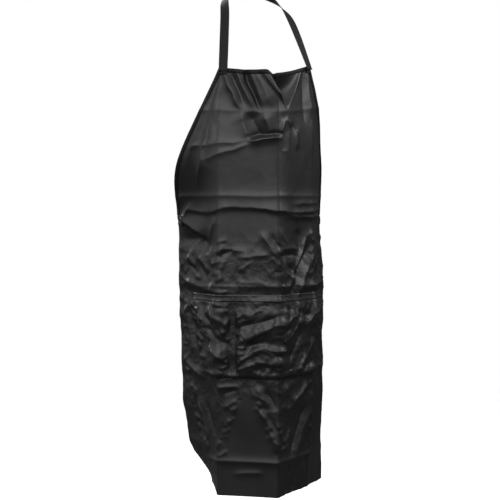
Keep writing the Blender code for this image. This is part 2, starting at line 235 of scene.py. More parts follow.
def worn(across, drop):
    """Where points of the cloth hang, before its folds are laid over them."""
    across, drop = np.broadcast_arrays(np.asarray(across, float), np.asarray(drop, float))
    upper = np.clip(np.searchsorted(HEADINGS[:, 0], drop) - 1, 0, len(HEADINGS) - 2)
    share = smooth((drop - HEADINGS[upper, 0]) / (HEADINGS[upper + 1, 0] - HEADINGS[upper, 0]))
    mixed = HEADINGS[upper] + (HEADINGS[upper + 1] - HEADINGS[upper]) * share[..., None]
    on_left = across > 0
    inner = np.radians(np.where(on_left, mixed[..., 3], mixed[..., 1]))
    outer = np.radians(np.where(on_left, mixed[..., 4], mixed[..., 2]))
    step = np.abs(across) / HEADING_STEPS
    x = np.zeros_like(across)
    y = HEM_FRONT_Y + (BIB_FRONT_Y - HEM_FRONT_Y) * (1.0 - smooth(drop / APRON_LENGTH))
    for index in range(HEADING_STEPS):
        along = (index + 0.5) * step
        turn = smooth((along - PACK_FOLD + FOLD_ROUNDING) / (2 * FOLD_ROUNDING))
        heading = (inner + (outer - inner) * turn) * smooth(0.5 + 0.5 * along / mixed[..., 5])
        x = x + np.cos(heading) * step
        y = y + np.sin(heading) * step
    share = across / BIB_HALF_WIDTH
    bib = smooth(1.0 - drop / 0.35)
    tilt = BIB_TILT * np.clip(share, -1.3, 1.3) * bib
    sag = NECKLINE_SAG * np.maximum(1.0 - share * share, 0.0) * bib
    outer_part = smooth((across - PACK_FOLD) / (HALF_WIDTH - PACK_FOLD))
    side = SIDE_DROP * outer_part * smooth((drop - 0.5) / 0.5)
    return np.stack((np.where(on_left, x, -x), y, -STRAP_RISE - drop + tilt - sag - side), axis=-1)


def normals(place, across, drop):
    """Unit normals, away from the wearer, of the surface that place(across, drop) describes."""
    nudge = 0.003
    along = place(across + nudge, drop) - place(across - nudge, drop)
    down = place(across, drop + nudge) - place(across, drop - nudge)
    facing = np.cross(down, along)
    return facing / np.linalg.norm(facing, axis=-1, keepdims=True)


def ripple(x, y, seed):
    """Smooth noise between about -1 and 1, with features about one unit wide."""
    turns = np.random.default_rng(seed).random((64, 64)) * 2 * math.pi
    column = np.floor(x).astype(int)
    row = np.floor(y).astype(int)
    right = x - column
    low = y - row

    def corner(aside, below):
        angle = turns[(column + aside) % 64, (row + below) % 64]
        return np.cos(angle) * (right - aside) + np.sin(angle) * (low - below)

    upper = corner(0, 0) + (corner(1, 0) - corner(0, 0)) * smooth(right)
    lower = corner(0, 1) + (corner(1, 1) - corner(0, 1)) * smooth(right)
    return 1.5 * (upper + (lower - upper) * smooth(low))


def laddered(ladders, seed):
    """Folds for rows of short wrinkles, with a little chance in each one's place, size and lean."""
    chance = np.random.default_rng(seed)
    folds = []
    for start_across, start_drop, end_across, end_drop, number, length, height, lean in ladders:
        for index in range(number):
            share = (index + chance.uniform(0.1, 0.9)) / number
            angle = math.radians(lean + chance.uniform(-30, 30))
            reach = length * chance.uniform(0.25, 0.65)
            middle_across = start_across + (end_across - start_across) * share + chance.uniform(-0.012, 0.012)
            middle_drop = start_drop + (end_drop - start_drop) * share
            run_across = math.cos(angle) * reach
            run_drop = math.sin(angle) * reach
            rise = height * chance.uniform(0.4, 1.3)
            widths = chance.uniform(2.2, 4.6, 2)
            folds.append(
                (
                    middle_across - run_across,
                    middle_drop - run_drop,
                    middle_across + run_across,
                    middle_drop + run_drop,
                    rise,
                    *widths,
                )
            )
    return tuple(folds)


def folded(across, drop, folds):
    """Height of straight folds in metres: pointed ridges that die away sideways and at their ends."""
    total = np.zeros(across.shape)
    wander = FOLD_WANDER * ripple(across / 0.030, drop / 0.030, 11)
    for start_across, start_drop, end_across, end_drop, height, behind, ahead in folds:
        margin = FOLD_REACH * max(behind, ahead) / 1000
        near = (across > min(start_across, end_across) - margin) & (drop > min(start_drop, end_drop) - margin)
        near &= (across < max(start_across, end_across) + margin) & (drop < max(start_drop, end_drop) + margin)
        run = np.array((end_across - start_across, end_drop - start_drop))
        length = np.linalg.norm(run)
        run /= length
        off_across = across[near] - start_across
        off_drop = drop[near] - start_drop
        along = (off_across * run[0] + off_drop * run[1]) / length
        beside = off_across * run[1] - off_drop * run[0] + wander[near]
        fading = smooth(along / FADING_SHARE) * smooth((1.0 - along) / FADING_SHARE)
        width = np.where(beside > 0, ahead, behind) * FOLD_BREADTH / 1000
        away = np.sqrt(beside * beside + RIDGE_ROUNDING ** 2) - RIDGE_ROUNDING
        total[near] += height * FOLD_RISE / 1000 * fading * np.exp(-away / width)
    return total


def crumpled(across, drop):
    """How crumpled the cloth is, from 0 where it hangs smooth to 1."""
    waist = smooth((drop - 0.37) / 0.08)
    calm = 0.10 + 0.50 * waist
    calm += 0.45 * smooth((drop - 0.50) / 0.05) * smooth((0.76 - drop) / 0.05)
    calm += 0.25 * smooth((np.abs(drop - 0.475) - 0.07) / -0.05)
    facet_edge = 0.012 + 0.125 * np.clip((drop - 0.755) / 0.17, 0, 1)
    in_facet = smooth((facet_edge - np.abs(across + 0.068)) / 0.018) * smooth((drop - 0.745) / 0.03)
    calm *= 1.0 - 0.92 * in_facet
    under_hem_crease = smooth((drop - 0.915) / 0.01)
    return np.clip(calm * (1.0 - 0.55 * under_hem_crease), 0.0, 1.0)


def crumples(across, drop):
    """Sharp random creases, about 4 mm high at the most, as thin nylon takes in the hand."""
    height = 0.0
    for size, share, seed in ((0.070, 5.0, 3), (0.040, 3.2, 5), (0.023, 1.6, 8)):
        bend = 0.55 * ripple(across / size / 1.9, drop / size / 1.9, seed + 20)
        ridge = np.abs(ripple(across / size + bend, drop / size * 0.8 - bend, seed))
        height = height + share * (0.35 - ridge)
    return height / 1000


WRINKLES = laddered(LADDERS, 61)


def neckline_cowl(across, drop):
    """The slack of the neckline falls inwards in one V-shaped pleat beside the centre line: how deep it
    is, from 0 to 1, and how far its two lips stand out."""
    reach = np.clip(drop / COWL_LENGTH, -0.2, 1.0)
    left_wall = -0.026 + 0.054 * reach
    right_wall = 0.096 - 0.064 * reach
    share = (across - left_wall) / (right_wall - left_wall)
    fading = smooth((1.0 - drop / COWL_LENGTH) / 0.45)
    profile = smooth(share / 0.11) * np.clip((1.0 - share) / 0.89, 0.0, 1.0) ** 0.75
    lips = 0.0050 * np.exp(-((share + 0.06) / 0.10) ** 2) + 0.0035 * np.exp(-((share - 1.04) / 0.07) ** 2)
    return profile * fading, lips * fading


def relief(across, drop):
    """Height of all the folds over the plain hanging shape, in metres, away from the wearer."""
    across, drop = np.broadcast_arrays(np.asarray(across, float), np.asarray(drop, float))
    slack, lips = neckline_cowl(across, drop)
    height = lips - slack * (COWL_DEPTH_ABOVE + (COWL_DEPTH_BELOW - COWL_DEPTH_ABOVE) * smooth(drop / 0.045))
    for index, line in enumerate(PACK_FOLDS_DOWN):
        wander = 0.0012 * ripple(drop / 0.09, 0.0 * drop + index, 31)
        away = np.sqrt((across - line - wander) ** 2 + RIDGE_ROUNDING ** 2) - RIDGE_ROUNDING
        height = height + 0.0022 * np.exp(-away / 0.007) * (0.12 + 0.88 * smooth((drop - 0.25) / 0.15))
    for index, line in enumerate(PACK_FOLDS_ACROSS):
        wander = 0.0016 * ripple(across / 0.08, 0.0 * across + index, 33)
        away = np.sqrt((drop - line - wander) ** 2 + RIDGE_ROUNDING ** 2) - RIDGE_ROUNDING
        height = height + (0.0012 + 0.0007 * index) * np.exp(-away / 0.007)
    height = height + folded(across, drop, FOLDS + WRINKLES)
    hollow = ((across + 0.222) / 0.050) ** 2 + ((drop - 0.408) / 0.020) ** 2
    height = height - 0.010 * np.exp(-hollow)
    height = height + 0.0030 * ripple(across / 0.14 + 0.5, drop / 0.20, 41) * smooth((drop - 0.1) / 0.2)
    edge_room = smooth((HALF_WIDTH - np.abs(across)) / 0.03) * 0.6 + 0.4
    return height * edge_room + crumples(across, drop) * crumpled(across, drop)


def hung(across, drop):
    """Where points of the folded cloth hang."""
    places = worn(across, drop) + normals(worn, across, drop) * relief(across, drop)[..., None]
    places[..., 2] -= COWL_SAG * neckline_cowl(across, drop)[0]
    return places


def lifted(across, drop, height):
    """Points at this height off the folded cloth, positive in front of it."""
    across, drop, height = np.broadcast_arrays(
        np.asarray(across, float), np.asarray(drop, float), np.asarray(height, float)
    )
    return hung(across, drop) + normals(hung, across, drop) * height[..., None]


def half_width(drop):
    """Half the cut width: the armholes narrow the bib above ARMHOLE_DEPTH."""
    share = np.clip(np.asarray(drop, float) / ARMHOLE_DEPTH, 0.0, 1.0)
    square = share * share
    cube = square * share
    rise = (cube - 2 * square + share) * ARMHOLE_START_SLOPE
    rise += 3 * square - 2 * cube + (cube - square) * ARMHOLE_END_SLOPE
    return BIB_HALF_WIDTH + (HALF_WIDTH - BIB_HALF_WIDTH) * rise


def sheet_of(name, places, pattern, thickness, material, crumple=None, closed=False):
    """A thin sheet through rows of places. pattern holds each place's own cloth coordinates."""
    rows, columns = places.shape[:2]
    number = np.arange(rows * columns).reshape(rows, columns)
    if closed:
        number = np.vstack((number, number[:1]))
    corners = (number[:-1, :-1], number[1:, :-1], number[1:, 1:], number[:-1, 1:])
    faces = np.stack([corner.ravel() for corner in corners], axis=1)
    mesh = bpy.data.meshes.new(name)
    mesh.from_pydata(places.reshape(-1, 3).tolist(), [], faces.tolist())
    cut = mesh.attributes.new("cut", "FLOAT_VECTOR", "POINT")
    flat = np.zeros((rows * columns, 3), np.float32)
    flat[:, :2] = np.asarray(pattern, np.float32).reshape(-1, 2)
    cut.data.foreach_set("vector", flat.ravel())
    if crumple is not None:
        mask = mesh.attributes.new("crumple", "FLOAT", "POINT")
        mask.data.foreach_set("value", np.asarray(crumple, np.float32).ravel())
    mesh.materials.append(material)
    mesh.shade_smooth()
    piece = bpy.data.objects.new(name, mesh)
    bpy.context.scene.collection.objects.link(piece)
    if thickness:
        wall = piece.modifiers.new("thickness", "SOLIDIFY")
        wall.thickness = thickness
        wall.offset = 0.0
    return piece


def woven_threads():
    """Shader group: the over-and-under of a plain weave, worked out from the cloth's own coordinates."""
    group = bpy.data.node_groups.new("woven_threads", "ShaderNodeTree")
    face = group.interface
    face.new_socket("Cloth", in_out="INPUT", socket_type="NodeSocketVector")
    face.new_socket("Threads per Metre", in_out="INPUT", socket_type="NodeSocketFloat").default_value = 2000
    face.new_socket("Height", in_out="OUTPUT", socket_type="NodeSocketFloat")
    enter = group.nodes.new("NodeGroupInput")
    leave = group.nodes.new("NodeGroupOutput")
    waves = []
    for direction in ("X", "Y"):
        wave = group.nodes.new("ShaderNodeTexWave")
        wave.wave_type = "BANDS"
        wave.bands_direction = direction
        wave.wave_profile = "SIN"
        scaled = group.nodes.new("ShaderNodeMath")
        scaled.operation = "MULTIPLY"
        scaled.inputs[1].default_value = 1.0 / math.pi / 2
        group.links.new(enter.outputs["Threads per Metre"], scaled.inputs[0])
        group.links.new(enter.outputs["Cloth"], wave.inputs["Vector"])
        group.links.new(scaled.outputs[0], wave.inputs["Scale"])
        waves.append(wave)
    over = group.nodes.new("ShaderNodeMath")
    over.operation = "MAXIMUM"
    group.links.new(waves[0].outputs["Fac"], over.inputs[0])
    group.links.new(waves[1].outputs["Fac"], over.inputs[1])
    group.links.new(over.outputs[0], leave.inputs["Height"])
    return group


WOVEN_THREADS = woven_threads()


def new_finish(name, roughness=None, specular=None):
    """A new material: itself, its nodes, its linking call and its shader."""
    made = bpy.data.materials.new(name)
    made.use_nodes = True
    shader = made.node_tree.nodes["Principled BSDF"]
    if roughness is not None:
        shader.inputs["Roughness"].default_value = roughness
    if specular is not None:
        shader.inputs["Specular IOR Level"].default_value = specular
    return made, made.node_tree.nodes, made.node_tree.links.new, shader


def carried(nodes, attribute):
    """The node that reads an attribute which the piece's mesh carries."""
    reader = nodes.new("ShaderNodeAttribute")
    reader.attribute_name = attribute
    return reader


def noise(nodes, link, vector, scale, detail=None):
    """Plain noise at this scale on a vector socket."""
    made = nodes.new("ShaderNodeTexNoise")
    made.inputs["Scale"].default_value = scale
    if detail is not None:
        made.inputs["Detail"].default_value = detail
    link(vector, made.inputs["Vector"])
    return made


def weave_of(nodes, link, cut, threads):
    """The plain weave at this many threads per metre, over the cloth's own coordinates."""
    weave = nodes.new("ShaderNodeGroup")
    weave.node_tree = WOVEN_THREADS
    weave.inputs["Threads per Metre"].default_value = threads
    link(cut.outputs["Vector"], weave.inputs["Cloth"])
    return weave


def coloured_by(nodes, link, shader, value, dark, pale, start=0.0, end=1.0):
    """Base colour that runs from dark to pale as the value socket goes from start to end."""
    tone = nodes.new("ShaderNodeValToRGB")
    for element, place, colour in zip(tone.color_ramp.elements, (start, end), (dark, pale)):
        element.position = place
        element.color = (*colour, 1.0)
    link(value, tone.inputs["Fac"])
    link(tone.outputs["Color"], shader.inputs["Base Color"])


def bumped(nodes, link, value, strength, distance):
    """A bump whose height is the value socket."""
    bump = nodes.new("ShaderNodeBump")
    bump.inputs["Strength"].default_value = strength
    bump.inputs["Distance"].default_value = distance
    link(value, bump.inputs["Height"])
    return bump


def nylon_material():
    """Black coated nylon taffeta: satin, finely woven, and crazed with small creases where handled."""
    made, nodes, link, shader = new_finish("black_nylon", specular=0.58)
    cut = carried(nodes, "cut")
    mask = carried(nodes, "crumple")
    cloud = noise(nodes, link, cut.outputs["Vector"], 9.0, 4.0)
    dark = (0.0088, 0.0088, 0.0093)
    pale = (0.0132, 0.0132, 0.0138)
    coloured_by(nodes, link, shader, cloud.outputs["Fac"], dark, pale, 0.30, 0.72)

    shine = nodes.new("ShaderNodeMapRange")
    shine.inputs["To Min"].default_value = 0.38
    shine.inputs["To Max"].default_value = 0.50
    link(cloud.outputs["Fac"], shine.inputs["Value"])
    link(shine.outputs["Result"], shader.inputs["Roughness"])

    creases = noise(nodes, link, cut.outputs["Vector"], 42.0, 1.5)
    creases.inputs["Roughness"].default_value = 0.45
    creases.inputs["Distortion"].default_value = 0.5
    centred = nodes.new("ShaderNodeMath")
    centred.operation = "SUBTRACT"
    centred.inputs[1].default_value = 0.5
    link(creases.outputs["Fac"], centred.inputs[0])
    ridged = nodes.new("ShaderNodeMath")
    ridged.operation = "ABSOLUTE"
    link(centred.outputs[0], ridged.inputs[0])
    where = nodes.new("ShaderNodeMath")
    where.operation = "MULTIPLY"
    link(ridged.outputs[0], where.inputs[0])
    link(mask.outputs["Fac"], where.inputs[1])
    crease_bump = bumped(nodes, link, where.outputs[0], 0.5, 0.006)
    crease_bump.invert = True

    weave = weave_of(nodes, link, cut, 2600)
    weave_bump = bumped(nodes, link, weave.outputs["Height"], 0.12, 0.0001)
    link(crease_bump.outputs["Normal"], weave_bump.inputs["Normal"])
    link(weave_bump.outputs["Normal"], shader.inputs["Normal"])
    return made


NYLON_MATERIAL = nylon_material()

COLUMNS = 217
ROW_HEIGHT = 0.0026
stops = (0.0,) + PACK_FOLDS_ACROSS + (APRON_LENGTH,)
drops = [0.0]
for upper, lower in zip(stops, stops[1:]):
    count = round((lower - upper) / ROW_HEIGHT)
    drops += [upper + (lower - upper) * (index + 1) / count for index in range(count)]
drops = np.array(drops)[:, None]
across = half_width(drops) * np.linspace(-1.0, 1.0, COLUMNS)[None, :]
drops = np.broadcast_to(drops, across.shape)
body = sheet_of(
    "apron_body",
    hung(across, drops),
    np.stack((across, drops), axis=-1),
    0.0,
    NYLON_MATERIAL,
    crumpled(across, drops),
)
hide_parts("main_panel")
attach(body, "apron")

# ---------------------------------------------------------------------------------------------------
# Hems: the side edges below the armholes and the bottom edge are turned to the inside and stitched.
# ---------------------------------------------------------------------------------------------------
HEM_WIDTH = 0.014
HEM_PROFILE = ((-0.0003, 0.0000), (0.0000, -0.0004), (0.0012, -0.0006), (HEM_WIDTH, -0.0006))
EDGE_SPACING = 0.004


def spread(low, high, spacing):
    """Evenly spaced values from low to high, about this far apart."""
    return np.linspace(low, high, max(2, round(abs(high - low) / spacing) + 1))


def along_edge(name, edge, profile, thickness, material, crumple=None):
    """A strip that follows an edge of the cloth. edge lists (across, drop, inward across, inward
    drop), and profile the distance in from the edge and the height over the cloth of its own points."""
    edge = np.asarray(edge, float)
    profile = np.asarray(profile, float)
    across = edge[:, 0:1] + edge[:, 2:3] * profile[None, :, 0]
    drop = edge[:, 1:2] + edge[:, 3:4] * profile[None, :, 0]
    places = lifted(across, drop, profile[None, :, 1])
    run = np.concatenate(((0.0,), np.cumsum(np.linalg.norm(np.diff(edge[:, :2], axis=0), axis=1))))
    width = np.concatenate(((0.0,), np.cumsum(np.linalg.norm(np.diff(profile, axis=0), axis=1))))
    pattern = np.stack(np.meshgrid(width, run), axis=-1)
    mask = None if crumple is None else np.full(across.shape, crumple)
    return sheet_of(name, places, pattern, thickness, material, mask)


side_drops = spread(ARMHOLE_DEPTH + 0.004, APRON_LENGTH, EDGE_SPACING)
hems = []
for hand, side in (("right", -1.0), ("left", 1.0)):
    edge = [(side * HALF_WIDTH, drop, -side, 0.0) for drop in side_drops]
    hems.append(along_edge(f"side_hem_{hand}", edge, HEM_PROFILE, NYLON, NYLON_MATERIAL, 0.4))
hem_width = HALF_WIDTH - 0.001
edge = [(across, APRON_LENGTH, 0.0, -1.0) for across in spread(-hem_width, hem_width, EDGE_SPACING)]
hems.append(along_edge("bottom_hem", edge, HEM_PROFILE, NYLON, NYLON_MATERIAL, 0.4))
for hem in hems:
    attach(hem, "apron")

# ---------------------------------------------------------------------------------------------------
# Bindings: black woven tape folded over the raw edge of the bib's top and of both armholes, and
# stitched through close to its inner edge. The armholes' tapes start under the top one.
# ---------------------------------------------------------------------------------------------------
TAPE = 0.0006
BINDING_WIDTH = 0.009
BINDING_PROFILE = (
    (BINDING_WIDTH, 0.0008),
    (BINDING_WIDTH * 0.5, 0.0010),
    (0.0010, 0.0010),
    (-0.0004, 0.0008),
    (-0.0010, 0.0000),
    (-0.0004, -0.0008),
    (0.0010, -0.0010),
    (BINDING_WIDTH * 0.5, -0.0010),
    (BINDING_WIDTH, -0.0008),
)


def tape_material():
    """Black cotton-faced tape: dull, ribbed across, with painted highlight on the rib tops and painted shade
    between the ribs, mottled by random fuzz.
    """
    made, nodes, link, shader = new_finish("black_tape", roughness=0.62, specular=0.25)
    shader.inputs["Sheen Weight"].default_value = 0.03
    shader.inputs["Sheen Roughness"].default_value = 0.5
    cut = carried(nodes, "cut")
    weave = weave_of(nodes, link, cut, 900)
    fuzz = noise(nodes, link, cut.outputs["Vector"], 240.0, 4.0)
    both = nodes.new("ShaderNodeMath")
    both.operation = "MULTIPLY"
    link(weave.outputs["Height"], both.inputs[0])
    link(fuzz.outputs["Fac"], both.inputs[1])
    # Painted highlight and shade: the colour runs from dark in the hollows between the ribs to pale on the rib
    # tops that the bump raises, mottled by the fuzz noise.
    dark = (0.0028, 0.0028, 0.0030)
    pale = (0.0078, 0.0078, 0.0081)
    coloured_by(nodes, link, shader, both.outputs[0], dark, pale, 0.10, 0.75)
    bump = bumped(nodes, link, both.outputs[0], 0.5, 0.0004)
    link(bump.outputs["Normal"], shader.inputs["Normal"])
    return made


TAPE_MATERIAL = tape_material()


def armhole_run(drop):
    """Unit direction of the left armhole's edge at this drop, in across and drop."""
    nudge = 0.002
    return Vector((half_width(drop + nudge) - half_width(drop - nudge), 2 * nudge)).normalized()


edge = [(across, 0.0, 0.0, 1.0) for across in spread(-BIB_HALF_WIDTH, BIB_HALF_WIDTH, 0.0025)]
bindings = [along_edge("bib_top_tape", edge, BINDING_PROFILE, TAPE, TAPE_MATERIAL)]
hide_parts("bib_top_binding")
for hand, side in (("right", -1.0), ("left", 1.0)):
    edge = []
    for drop in spread(0.002, ARMHOLE_DEPTH + 0.006, 0.003):
        run = armhole_run(drop)
        edge.append((side * half_width(drop), drop, -side * run.y, run.x))
    binding = along_edge(f"armhole_tape_{hand}", edge, BINDING_PROFILE, TAPE, TAPE_MATERIAL)
    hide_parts(f"armhole_binding_{hand}")
    bindings.append(binding)
for binding in bindings:
    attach(binding, "apron")

# ---------------------------------------------------------------------------------------------------
# Neck strap: one length of the same tape, sewn flat on the front of one bib corner, up over the
# shoulders, behind the neck and down to the other corner. It bends just above the seams.
# ---------------------------------------------------------------------------------------------------
TAPE_WIDTH = 0.021
STRAP_TAPE = 0.0011
STRAP_OVERLAP = 0.015
STRAP_HEIGHT = 0.0022
STRAP_CLEARANCE = 0.0035
STRAP_PATH = (
    (0.0860, -0.1000, -0.087),
    (0.0710, -0.0600, -0.040),
    (0.0480, -0.0220, -0.012),
    (0.0240, -0.0020, -0.001),
    (0.0080, 0.0000, 0.000),
)
STRAP_WIDTH_WAYS = (
    (0.96, 0.10, -0.25),
    (0.74, 0.30, -0.60),
    (0.38, 0.25, -0.88),
    (0.06, 0.04, -1.00),
    (0.00, 0.00, -1.00),
)
TAPE_COLUMNS = (-0.5, -0.46, -0.25, 0.0, 0.25, 0.46, 0.5)
TAPE_CUPPING = 0.0006


def through(points, steps):
    """Points along a smooth curve through the given ones."""
    ends = [2 * points[0] - points[1]] + list(points) + [2 * points[-1] - points[-2]]
    curve = []
    for before, start, end, after in zip(ends, ends[1:], ends[2:], ends[3:]):
        for index in range(steps):
            t = index / steps
            bend = 2 * before - 5 * start + 4 * end - after
            twist = 3 * start - before - 3 * end + after
            curve.append(0.5 * (2 * start + (end - before) * t + bend * t * t + twist * t ** 3))
    curve.append(points[-1].copy())
    return curve


def tape_of(name, path, ways, widths, thickness, closed=False):
    """A flat tape along a path. ways are the directions that its width lies in."""
    path = np.array([tuple(middle) for middle in path])
    ways = np.array([tuple(way) for way in ways])
    if closed:
        run = np.roll(path, -1, axis=0) - np.roll(path, 1, axis=0)
    else:
        run = np.gradient(path, axis=0)
    run /= np.linalg.norm(run, axis=1, keepdims=True)
    ways = ways - run * np.sum(ways * run, axis=1, keepdims=True)
    ways /= np.linalg.norm(ways, axis=1, keepdims=True)
    flat = np.cross(ways, run)
    columns = np.array(TAPE_COLUMNS)
    cupped = TAPE_CUPPING * (1.0 - (2 * columns) ** 2)
    offset = ways[:, None, :] * (np.asarray(widths)[:, None] * columns)[..., None]
    places = path[:, None, :] + offset + flat[:, None, :] * cupped[None, :, None]
    steps = np.linalg.norm(np.diff(path, axis=0), axis=1)
    along = np.concatenate(((0.0,), np.cumsum(steps)))
    pattern = np.stack(np.meshgrid(columns * TAPE_WIDTH, along), axis=-1)
    return sheet_of(name, places, pattern, thickness, TAPE_MATERIAL, closed=closed)


halves = []
for side in (-1.0, 1.0):
    mirrored = Vector((side, 1.0, 1.0))
    middle = side * (BIB_HALF_WIDTH - TAPE_WIDTH / 2)
    sewn = [Vector(lifted(middle, drop, STRAP_HEIGHT)) for drop in (STRAP_OVERLAP, 0.010, 0.005)]
    corner = Vector(lifted(middle, 0.0, STRAP_HEIGHT)) + Vector((0.0, 0.0, STRAP_CLEARANCE))
    points = sewn + [corner] + [Vector(place) * mirrored for place in STRAP_PATH]
    along_bib = worn(side * BIB_HALF_WIDTH, 0.0) - worn(side * (BIB_HALF_WIDTH - TAPE_WIDTH), 0.0)
    along_bib = Vector(along_bib).normalized()
    ways = [along_bib] * 4 + [Vector(way) * mirrored for way in STRAP_WIDTH_WAYS]
    halves.append(list(zip(through(points, 9), through(ways, 9))))
stations = halves[0] + halves[1][::-1]
strap = tape_of(
    "neck_tape",
    [middle for middle, way in stations],
    [way for middle, way in stations],
    [TAPE_WIDTH] * len(stations),
    STRAP_TAPE,
)
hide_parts("neck_strap", "strap_end_right", "strap_end_left")
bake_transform(strap)

# ---------------------------------------------------------------------------------------------------
# Pocket: a wide patch of the same nylon with slanting sides, a turned top hem, sewn on at its sides
# and bottom, and divided by one double seam. Between its seams it stands a little off the apron.
# ---------------------------------------------------------------------------------------------------
POCKET_TOP = 0.530
POCKET_HEIGHT = 0.194
POCKET_HALF_TOP = 0.230
POCKET_HALF_BOTTOM = 0.160
POCKET_SEAM = -0.105
POCKET_BULGE = 0.0075
POCKET_EASE = 0.030
POCKET_HEM = 0.017
POCKET_FLAT = 0.0009
POCKET_RIM = 0.0036
POCKET_SEAM_RIDGE = 0.0016
POCKET_COLUMNS = 221
POCKET_ROW_HEIGHT = 0.0025

# Folds of the pocket's own cloth, as FOLDS
POCKET_FOLDS = (
    (-0.110, 0.648, 0.124, 0.548, 6.5, 11, 12),
    (-0.104, 0.664, 0.050, 0.604, -5.0, 9, 8),
    (-0.104, 0.612, 0.026, 0.572, -3.6, 8, 7),
    (-0.106, 0.590, -0.060, 0.566, 3.0, 4, 5),
    (-0.104, 0.604, -0.040, 0.576, 3.4, 4, 5),
    (-0.080, 0.584, -0.020, 0.560, 2.6, 4, 4),
    (-0.100, 0.694, -0.030, 0.650, 5.5, 6, 7),
    (-0.050, 0.652, 0.034, 0.664, 4.5, 7, 6),
    (-0.104, 0.712, -0.040, 0.684, 4.5, 6, 6),
    (-0.060, 0.682, 0.020, 0.690, 3.5, 6, 6),
    (-0.066, 0.646, 0.030, 0.616, 4.6, 7, 9),
    (0.010, 0.560, 0.150, 0.588, -3.6, 8, 7),
    (0.016, 0.640, 0.090, 0.578, 4.4, 6, 8),
    (0.030, 0.700, 0.090, 0.600, -4.6, 7, 8),
    (0.062, 0.716, 0.150, 0.640, 4.6, 6, 8),
    (0.080, 0.616, 0.168, 0.560, 4.0, 7, 6),
    (0.104, 0.712, 0.160, 0.676, -3.0, 5, 6),
    (0.170, 0.560, 0.214, 0.600, 3.0, 6, 6),
    (-0.220, 0.556, -0.168, 0.640, 4.2, 6, 7),
    (-0.196, 0.552, -0.140, 0.620, -3.8, 6, 6),
    (-0.176, 0.556, -0.120, 0.606, 4.0, 5, 6),
    (-0.178, 0.640, -0.116, 0.690, 4.4, 6, 6),
    (-0.128, 0.660, -0.160, 0.706, 3.4, 5, 5),
    (-0.176, 0.600, -0.112, 0.656, -3.6, 6, 6),
    (-0.150, 0.548, -0.110, 0.560, 2.2, 4, 4),
)


# Ladders of wrinkles that the pocket's seams draw up, as LADDERS
POCKET_LADDERS = (
    (-0.118, 0.560, -0.118, 0.715, 9, 0.026, 2.6, -35),
    (-0.090, 0.560, -0.090, 0.715, 9, 0.032, 2.8, -25),
    (-0.206, 0.560, -0.160, 0.700, 8, 0.028, 2.8, 40),
    (0.006, 0.560, 0.000, 0.710, 9, 0.026, 2.0, -20),
    (0.196, 0.560, 0.160, 0.710, 9, 0.034, 2.8, -35),
    (-0.090, 0.714, 0.020, 0.712, 7, 0.026, 2.2, -60),
    (0.030, 0.712, 0.150, 0.712, 8, 0.024, 2.4, 55),
)
POCKET_WRINKLES = laddered(POCKET_LADDERS, 62)


def pocket_edge(drop):
    """Half the pocket's width at this drop: the sides slant in and then run straight down."""
    share = (drop - POCKET_TOP) / POCKET_HEIGHT
    return POCKET_HALF_TOP + (POCKET_HALF_BOTTOM - POCKET_HALF_TOP) * smooth(share * 1.15)


def pocket_height(across, drop):
    """How far the pocket's cloth stands off the apron."""
    sideways = np.minimum(pocket_edge(drop) - np.abs(across), np.abs(across - POCKET_SEAM))
    above_seam = POCKET_TOP + POCKET_HEIGHT - drop
    room = np.minimum(sideways, above_seam)
    below_mouth = drop - POCKET_TOP
    height = POCKET_BULGE * smooth(room / POCKET_EASE) * (0.25 + 0.75 * smooth(below_mouth / 0.05))
    height = height * (0.35 + 0.65 * smooth(above_seam / 0.11))
    wrinkles = folded(across, drop, POCKET_FOLDS + POCKET_WRINKLES) + 1.2 * crumples(across + 0.4, drop)
    height = height + wrinkles * smooth((room - 0.002) / 0.012) * smooth((below_mouth - 0.004) / 0.02)
    drawn_up = 0.6 + 0.4 * ripple(across / 0.011, drop / 0.011, 51)
    turned_under = np.exp(-(((above_seam - 0.0055) / 0.0042) ** 2)) * POCKET_RIM * drawn_up
    ridge = np.exp(-(((across - POCKET_SEAM) / 0.0034) ** 2)) * POCKET_SEAM_RIDGE * smooth(below_mouth / 0.02)
    return POCKET_FLAT + np.maximum(height + turned_under + ridge, 0.0)


drops = spread(POCKET_TOP, POCKET_TOP + POCKET_HEIGHT, POCKET_ROW_HEIGHT)[:, None]
across = pocket_edge(drops) * np.linspace(-1.0, 1.0, POCKET_COLUMNS)[None, :]
drops = np.broadcast_to(drops, across.shape)
pocket = sheet_of(
    "pocket",
    lifted(across, drops, pocket_height(across, drops)),
    np.stack((across, drops), axis=-1),
    NYLON,
    NYLON_MATERIAL,
    np.full(across.shape, 0.9),
)
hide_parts("front_pocket")
hem_drops = np.linspace(POCKET_TOP, POCKET_TOP + POCKET_HEM, 6)[:, None]
across = pocket_edge(hem_drops) * np.linspace(-0.998, 0.998, POCKET_COLUMNS)[None, :]
hem_drops = np.broadcast_to(hem_drops, across.shape)
pocket_hem = sheet_of(
    "pocket_top_hem",
    lifted(across, hem_drops, pocket_height(across, hem_drops) + NYLON * 1.2),
    np.stack((across, hem_drops), axis=-1),
    NYLON,
    NYLON_MATERIAL,
    np.full(across.shape, 0.6),
)
for piece in (pocket, pocket_hem):
    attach(piece, "apron")

# ---------------------------------------------------------------------------------------------------
# Label: a small blank woven tab, sewn by its edges inside the bib.
# ---------------------------------------------------------------------------------------------------
LABEL_CORNERS = ((0.006, 0.150), (0.036, 0.196))


def label_material():
    """White woven polyester, with painted shade that greys the hollows of its weave."""
    made, nodes, link, shader = new_finish("label_cloth", roughness=0.7)
    weave = weave_of(nodes, link, carried(nodes, "cut"), 2200)
    # Painted shade: the colour turns grey where the weave's height is low, in the hollows that its bump makes,
    # and stays pale on the raised threads.
    coloured_by(nodes, link, shader, weave.outputs["Height"], (0.46, 0.46, 0.45), (0.74, 0.74, 0.72))
    bump = bumped(nodes, link, weave.outputs["Height"], 0.3, 0.0002)
    link(bump.outputs["Normal"], shader.inputs["Normal"])
    return made


